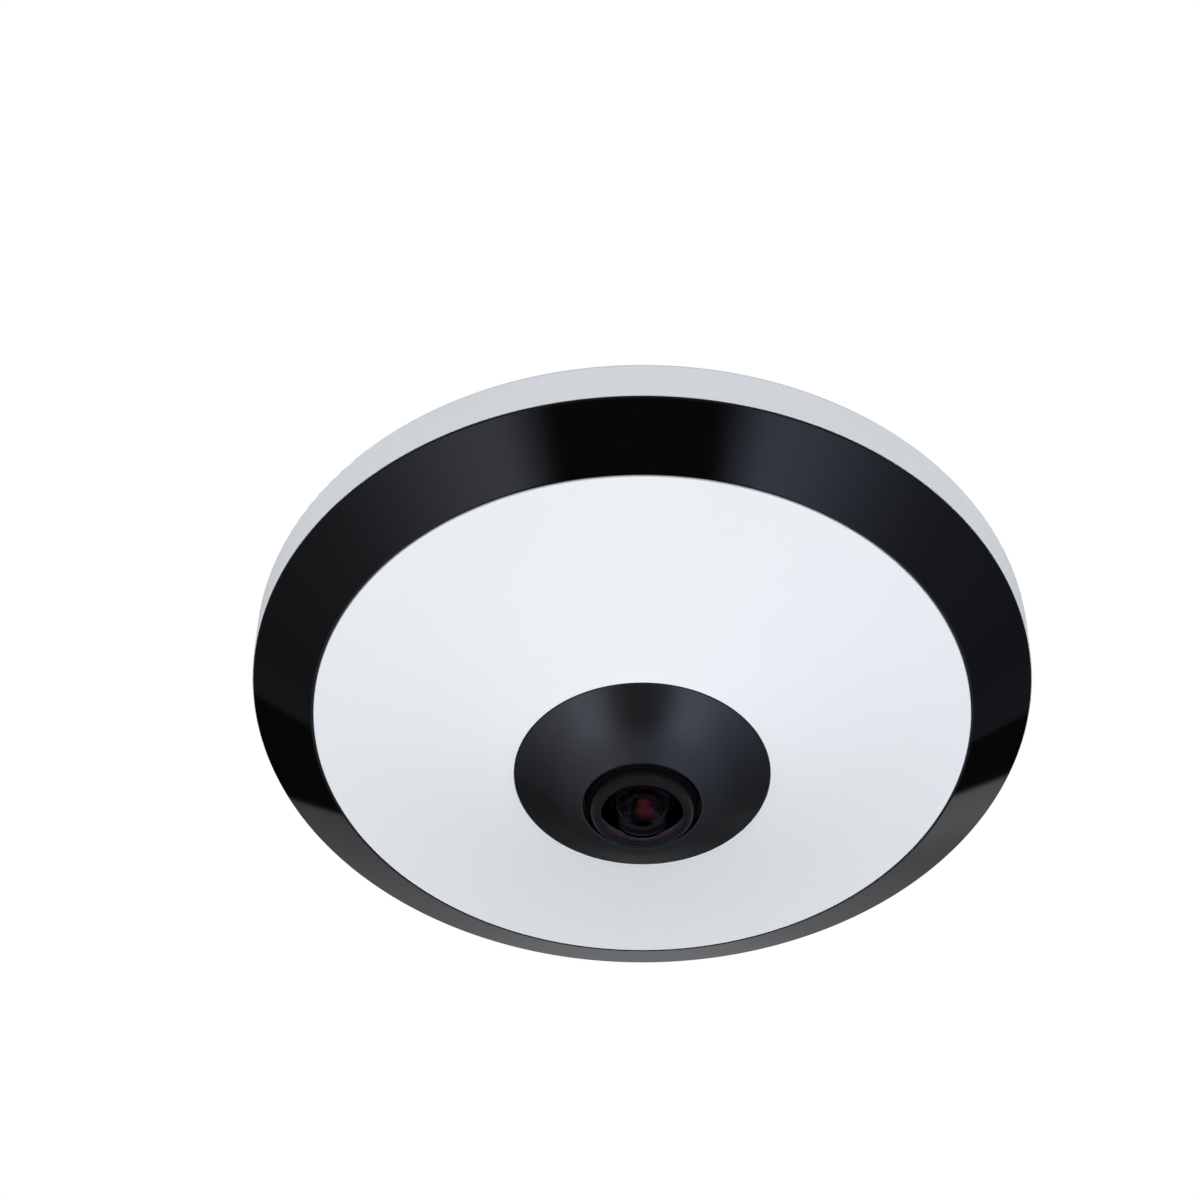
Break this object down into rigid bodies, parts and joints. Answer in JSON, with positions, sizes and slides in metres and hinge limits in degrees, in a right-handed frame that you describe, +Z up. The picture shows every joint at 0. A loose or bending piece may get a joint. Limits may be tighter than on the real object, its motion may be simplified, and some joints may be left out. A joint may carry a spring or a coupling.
{
  "type": "ceiling fisheye ip camera",
  "caption": "Round ceiling camera with a domed fisheye lens in a black cone, a flared white cover, a dark infrared window ring and a twist-lock mounting plate.",
  "frame": {"origin": "centre of the mounting plate's ceiling face, in the middle of its circle of screw holes", "axes": "+Z points up into the ceiling and the lens looks along -Z; the cable inlet lies towards -Y"},
  "size_m": [0.126, 0.126, 0.0369],
  "materials": {
    "white_plastic": "fine satin moulded polycarbonate",
    "plate_plastic": "satin moulded plastic",
    "window_black": "polished infrared-passing plastic",
    "bezel_black": "fine matt texture",
    "black_plastic": "matt moulded plastic",
    "grey_plastic": "matt moulded plastic",
    "button_plastic": "satin acetal",
    "rubber": "matt rubber",
    "pad_silicone": "soft silicone",
    "screw_steel": "zinc plated",
    "can_steel": "tin plated",
    "magnet_nickel": "nickel plated magnet",
    "yoke_iron": "stamped soft iron",
    "spreader_aluminium": "rolled sheet",
    "can_aluminium": "drawn can",
    "lens_black": "black anodised",
    "spacer_brass": "turned brass",
    "coil_copper": "enamelled winding on its bobbin",
    "board_green": "solder mask",
    "chip_black": "moulded epoxy",
    "connector_ivory": "satin nylon",
    "connector_brown": "satin nylon",
    "tape_yellow": "insulating tape",
    "ferrite_grey": "sintered ferrite",
    "sensor_ceramic": "ceramic package",
    "led_resin": "clear resin over a ceramic base",
    "flex_orange": "polyimide film",
    "lens_glass": "coated optical glass",
    "clear_glass": "polished glass",
    "filter_glass": "infrared cut coating"
  },
  "bodies": {
    "ceiling_plate": {"mounting_plate": "plate_plastic"},
    "camera": {"base_housing": "white_plastic", "cable_grommet": "rubber", "cover_screws": "screw_steel", "heat_spreader": "spreader_aluminium", "thermal_pad": "pad_silicone", "processor": "chip_black", "memory_chips": "chip_black", "main_board": "board_green", "board_screws": "screw_steel", "reset_switch": "can_steel", "card_socket": "can_steel", "network_header": "connector_ivory", "power_header": "connector_ivory", "ethernet_transformer": "chip_black", "poe_transformer": "tape_yellow", "power_coils": "ferrite_grey", "capacitors": "can_aluminium", "backup_battery": "can_steel", "board_spacers": "spacer_brass", "board_connector": "connector_brown", "sensor_board": "board_green", "sensor_board_screws": "screw_steel", "image_sensor": "sensor_ceramic", "sensor_glass": "clear_glass", "lens_holder": "black_plastic", "holder_screws": "screw_steel", "filter_tray": "black_plastic", "rotor_pin": "screw_steel", "filter_yoke": "yoke_iron", "filter_coil": "coil_copper", "lens_barrel": "lens_black", "lock_ring": "lens_black", "lens_front_element": "lens_glass", "lens_second_element": "lens_glass", "lens_spacer": "lens_black", "aperture_stop": "lens_black", "lens_rear_elements": "lens_glass", "lens_retaining_ring": "lens_black", "lens_gasket": "rubber", "led_board": "board_green", "ir_leds": "led_resin", "light_sensor": "chip_black", "led_board_screws": "screw_steel", "led_flex": "flex_orange", "flex_connectors": "connector_ivory", "ir_window_ring": "window_black", "front_cover": "white_plastic", "lens_bezel": "bezel_black", "bezel_screws": "screw_steel"},
    "filter_slide": {"filter_carriage": "grey_plastic", "ir_cut_glass": "filter_glass", "clear_glass": "clear_glass"},
    "filter_lever": {"filter_arm": "button_plastic", "filter_rotor": "magnet_nickel"},
    "reset_push": {"reset_button": "button_plastic", "switch_plunger": "chip_black"}
  },
  "joints": [
    {"name": "camera_twist", "type": "hinge", "parent": "ceiling_plate", "child": "camera", "pos_m": [0, 0, -0.002], "axis": [0, 0, -1], "range_deg": [0, 24]},
    {"name": "lever_swing", "type": "hinge", "parent": "camera", "child": "filter_lever", "pos_m": [0, 0.01343, -0.0183], "axis": [0, 0, -1], "range_deg": [0, 48.72]},
    {"name": "filter_shift", "type": "slide", "parent": "camera", "child": "filter_slide", "axis": [-1, 0, 0], "range_m": [0, 0.0066]},
    {"name": "reset_press", "type": "slide", "parent": "camera", "child": "reset_push", "axis": [0, 0, -1], "range_m": [0, 0.00035], "stiffness_N_per_m": 600, "springref_m": -0.0003}
  ],
  "couplings": [
    {"joint": "lever_swing", "follows": "filter_shift", "rad_per_m": 128.84}
  ]
}
